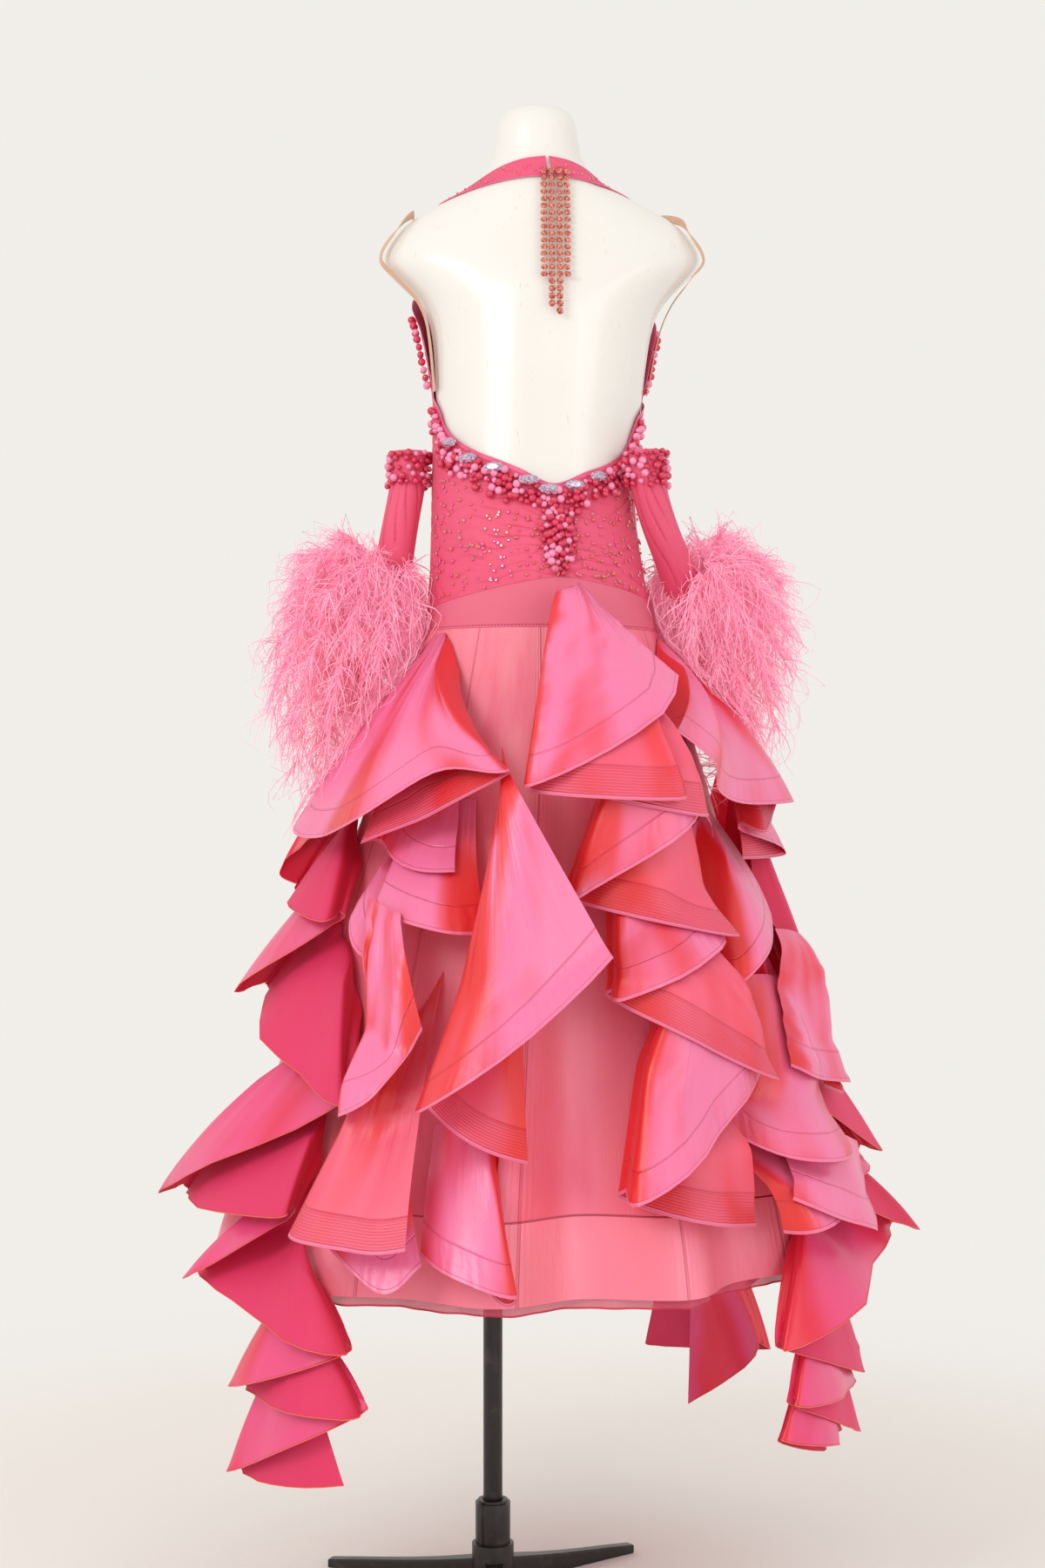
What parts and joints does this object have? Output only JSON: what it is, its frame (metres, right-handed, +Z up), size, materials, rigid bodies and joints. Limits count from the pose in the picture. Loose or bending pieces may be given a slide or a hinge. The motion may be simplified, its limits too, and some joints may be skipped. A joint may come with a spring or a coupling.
{
  "type": "ballroom dance gown on a limbless dress form and stand",
  "caption": "Backless pink ballroom gown with halter neck, ruffle cascades, hanging floats and feathered cuffs, on a limbless dress form with a pole stand.",
  "frame": {"origin": "centre of the underside of the stand's foot, on the floor", "axes": "+Z up along the pole; -Y towards the gown's back, the side that is seen; +X to the right seen from the back"},
  "size_m": [0.8102, 0.7404, 1.693],
  "materials": {
    "form": "glossy off-white shell",
    "stand": "satin black paint",
    "mesh": "stretch mesh, ruched, matte",
    "yoke": "soft crepe",
    "skirt": "chiffon-like crepe",
    "organza": "stiff organza",
    "satin": "shot satin organza with a sheen",
    "float": "light georgette and satin tiers",
    "feather": "soft ostrich feather",
    "pearl": "red and pink pearls and clear stones",
    "crystal": "faceted stones in cups",
    "elastic": "skin-coloured elastic"
  },
  "bodies": {
    "root": {"form_torso": "form", "stand_foot": "stand", "stand_collar": "stand", "stand_pole": "stand", "bodice_back": "mesh", "yoke_back": "yoke", "yoke_front": "yoke", "bodice_front": "mesh", "neck_band_left": "mesh", "neck_band_right": "mesh", "strap_left": "elastic", "strap_right": "elastic", "neckline_pearls": "pearl", "centre_pearls": "pearl", "armhole_pearls_left": "pearl", "armhole_pearls_right": "pearl", "skirt_back": "skirt", "skirt_front": "skirt", "petticoat": "organza", "right_float_front": "float", "left_float": "float", "right_float": "float", "centre_hem_tier": "satin", "right_hem_tier": "satin", "right_tier_lower": "satin", "right_tier_middle": "satin", "right_tier_upper": "satin", "left_hem_cascade": "satin", "right_swag": "satin", "side_cascade": "satin", "left_gore": "satin", "left_tier": "satin", "left_swag": "satin", "right_cascade": "satin", "centre_cascade": "satin", "left_cascade": "satin", "cuff_left": "mesh", "cuff_right": "mesh", "feathers_left": "feather", "feathers_right": "feather", "tassel_left": "crystal", "tassel_right": "crystal"}
  },
  "joints": []
}
